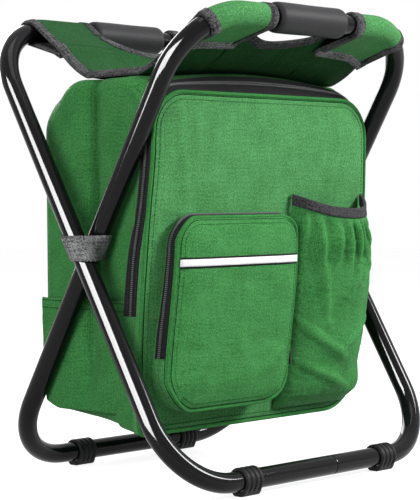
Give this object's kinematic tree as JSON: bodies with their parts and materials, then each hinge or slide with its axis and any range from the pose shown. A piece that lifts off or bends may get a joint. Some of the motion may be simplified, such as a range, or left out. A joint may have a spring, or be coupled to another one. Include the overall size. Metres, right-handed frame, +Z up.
{
  "type": "folding cooler stool",
  "caption": "Folding stool of two crossed tube hoops with a sling seat, foam carry grips and an insulated zip-front bag with pockets hung between the legs.",
  "frame": {"origin": "on the floor, in the middle of the stool's footprint, below the pivot axis", "axes": "+X along the pivot axis to the right as seen from the front, +Y to the rear, +Z up; the zip front faces -Y"},
  "size_m": [0.3956, 0.279, 0.4521],
  "materials": {
    "paint": "gloss black powder coat",
    "steel": "blackened steel",
    "nylon": "plain nylon",
    "rubber": "moulded, ribbed",
    "grip": "fine-celled foam skin",
    "cloth": "plain-weave coated polyester",
    "binding": "ribbed webbing and folded tape",
    "zip": "woven tape with a nylon coil",
    "foam": "closed-cell foam board",
    "liner": "foil-backed film",
    "reflective": "woven reflective tape"
  },
  "bodies": {
    "bag": {"seat_center": "cloth", "left_side_panel": "cloth", "right_side_panel": "cloth", "left_foam": "foam", "right_foam": "foam", "back_panel": "cloth", "top_panel": "cloth", "bottom_panel": "cloth", "back_foam": "foam", "bottom_foam": "foam", "top_foam": "foam", "liner_tray": "liner", "front_panel": "cloth", "front_foam": "foam", "main_zip_bag_tape": "zip", "main_zip_left_tape": "zip", "main_zip_right_tape": "zip", "lower_piping": "cloth", "pocket_gusset": "cloth", "pocket_base": "cloth", "bottle_pocket": "cloth", "bottle_pocket_binding": "binding", "left_side_pouch": "cloth", "right_side_pouch": "cloth", "left_pivot_strap": "binding", "right_pivot_strap": "binding"},
    "outer_frame": {"outer_hoop_tube": "paint", "outer_joint_plug": "steel", "rear_grip": "grip", "left_pivot_rivet": "steel", "right_pivot_rivet": "steel", "left_pivot_washer": "nylon", "right_pivot_washer": "nylon", "front_left_foot": "rubber", "front_right_foot": "rubber", "rear_left_seat_loop": "cloth", "rear_right_seat_loop": "cloth"},
    "inner_frame": {"inner_hoop_tube": "paint", "inner_joint_plug": "steel", "front_grip": "grip", "rear_left_foot": "rubber", "rear_right_foot": "rubber", "front_left_seat_loop": "cloth", "front_right_seat_loop": "cloth"},
    "seat_front": {"seat_front_slope": "cloth"},
    "seat_rear": {"seat_rear_slope": "cloth"},
    "flap": {"front_flap": "cloth", "flap_foam": "foam", "main_zip_flap_tape": "zip", "flap_piping": "cloth"},
    "pocket_front": {"pocket_flap": "cloth", "pocket_zip_tape": "zip", "reflective_strip": "reflective"},
    "main_slider": {"main_zip_slider": "steel"},
    "main_pull": {"main_zip_pull": "steel"},
    "pocket_slider": {"pocket_zip_slider": "steel"},
    "pocket_pull": {"pocket_zip_pull": "steel"}
  },
  "joints": [
    {"name": "outer_fold", "type": "hinge", "parent": "bag", "child": "outer_frame", "pos_m": [0, 0, 0.22828], "axis": [1, 0, 0], "range_deg": [0, 25.7]},
    {"name": "inner_fold", "type": "hinge", "parent": "bag", "child": "inner_frame", "pos_m": [0, 0, 0.22828], "axis": [1, 0, 0], "range_deg": [-25.8, 0]},
    {"name": "seat_front_fold", "type": "hinge", "parent": "bag", "child": "seat_front", "pos_m": [0, -0.038, 0.38157], "axis": [1, 0, 0], "range_deg": [-67.2, 0]},
    {"name": "seat_rear_fold", "type": "hinge", "parent": "bag", "child": "seat_rear", "pos_m": [0, 0.038, 0.38157], "axis": [1, 0, 0], "range_deg": [0, 67.2]},
    {"name": "flap_open", "type": "hinge", "parent": "bag", "child": "flap", "pos_m": [0, -0.065, 0.28027], "axis": [1, 0, 0], "range_deg": [0, 90]},
    {"name": "pocket_open", "type": "hinge", "parent": "bag", "child": "pocket_front", "pos_m": [0, -0.082, 0.12427], "axis": [1, 0, 0], "range_deg": [0, 90]},
    {"name": "main_zip_travel", "type": "slide", "parent": "bag", "child": "main_slider", "axis": [0, 0, 1], "range_m": [0, 0.105]},
    {"name": "main_pull_swing", "type": "hinge", "parent": "main_slider", "child": "main_pull", "pos_m": [0.1548, -0.05775, 0.16237], "axis": [0, 1, 0], "range_deg": [-110, 0]},
    {"name": "pocket_zip_travel", "type": "slide", "parent": "bag", "child": "pocket_slider", "axis": [0, 0, 1], "range_m": [0, 0.094]},
    {"name": "pocket_pull_swing", "type": "hinge", "parent": "pocket_slider", "child": "pocket_pull", "pos_m": [0.0263, -0.0726, 0.12677], "axis": [1, 0, 0], "range_deg": [-120, 0]}
  ],
  "couplings": [
    {"joint": "inner_fold", "follows": "outer_fold", "ratio": -1},
    {"joint": "seat_front_fold", "follows": "outer_fold", "ratio": -2.6},
    {"joint": "seat_rear_fold", "follows": "outer_fold", "ratio": 2.6}
  ]
}
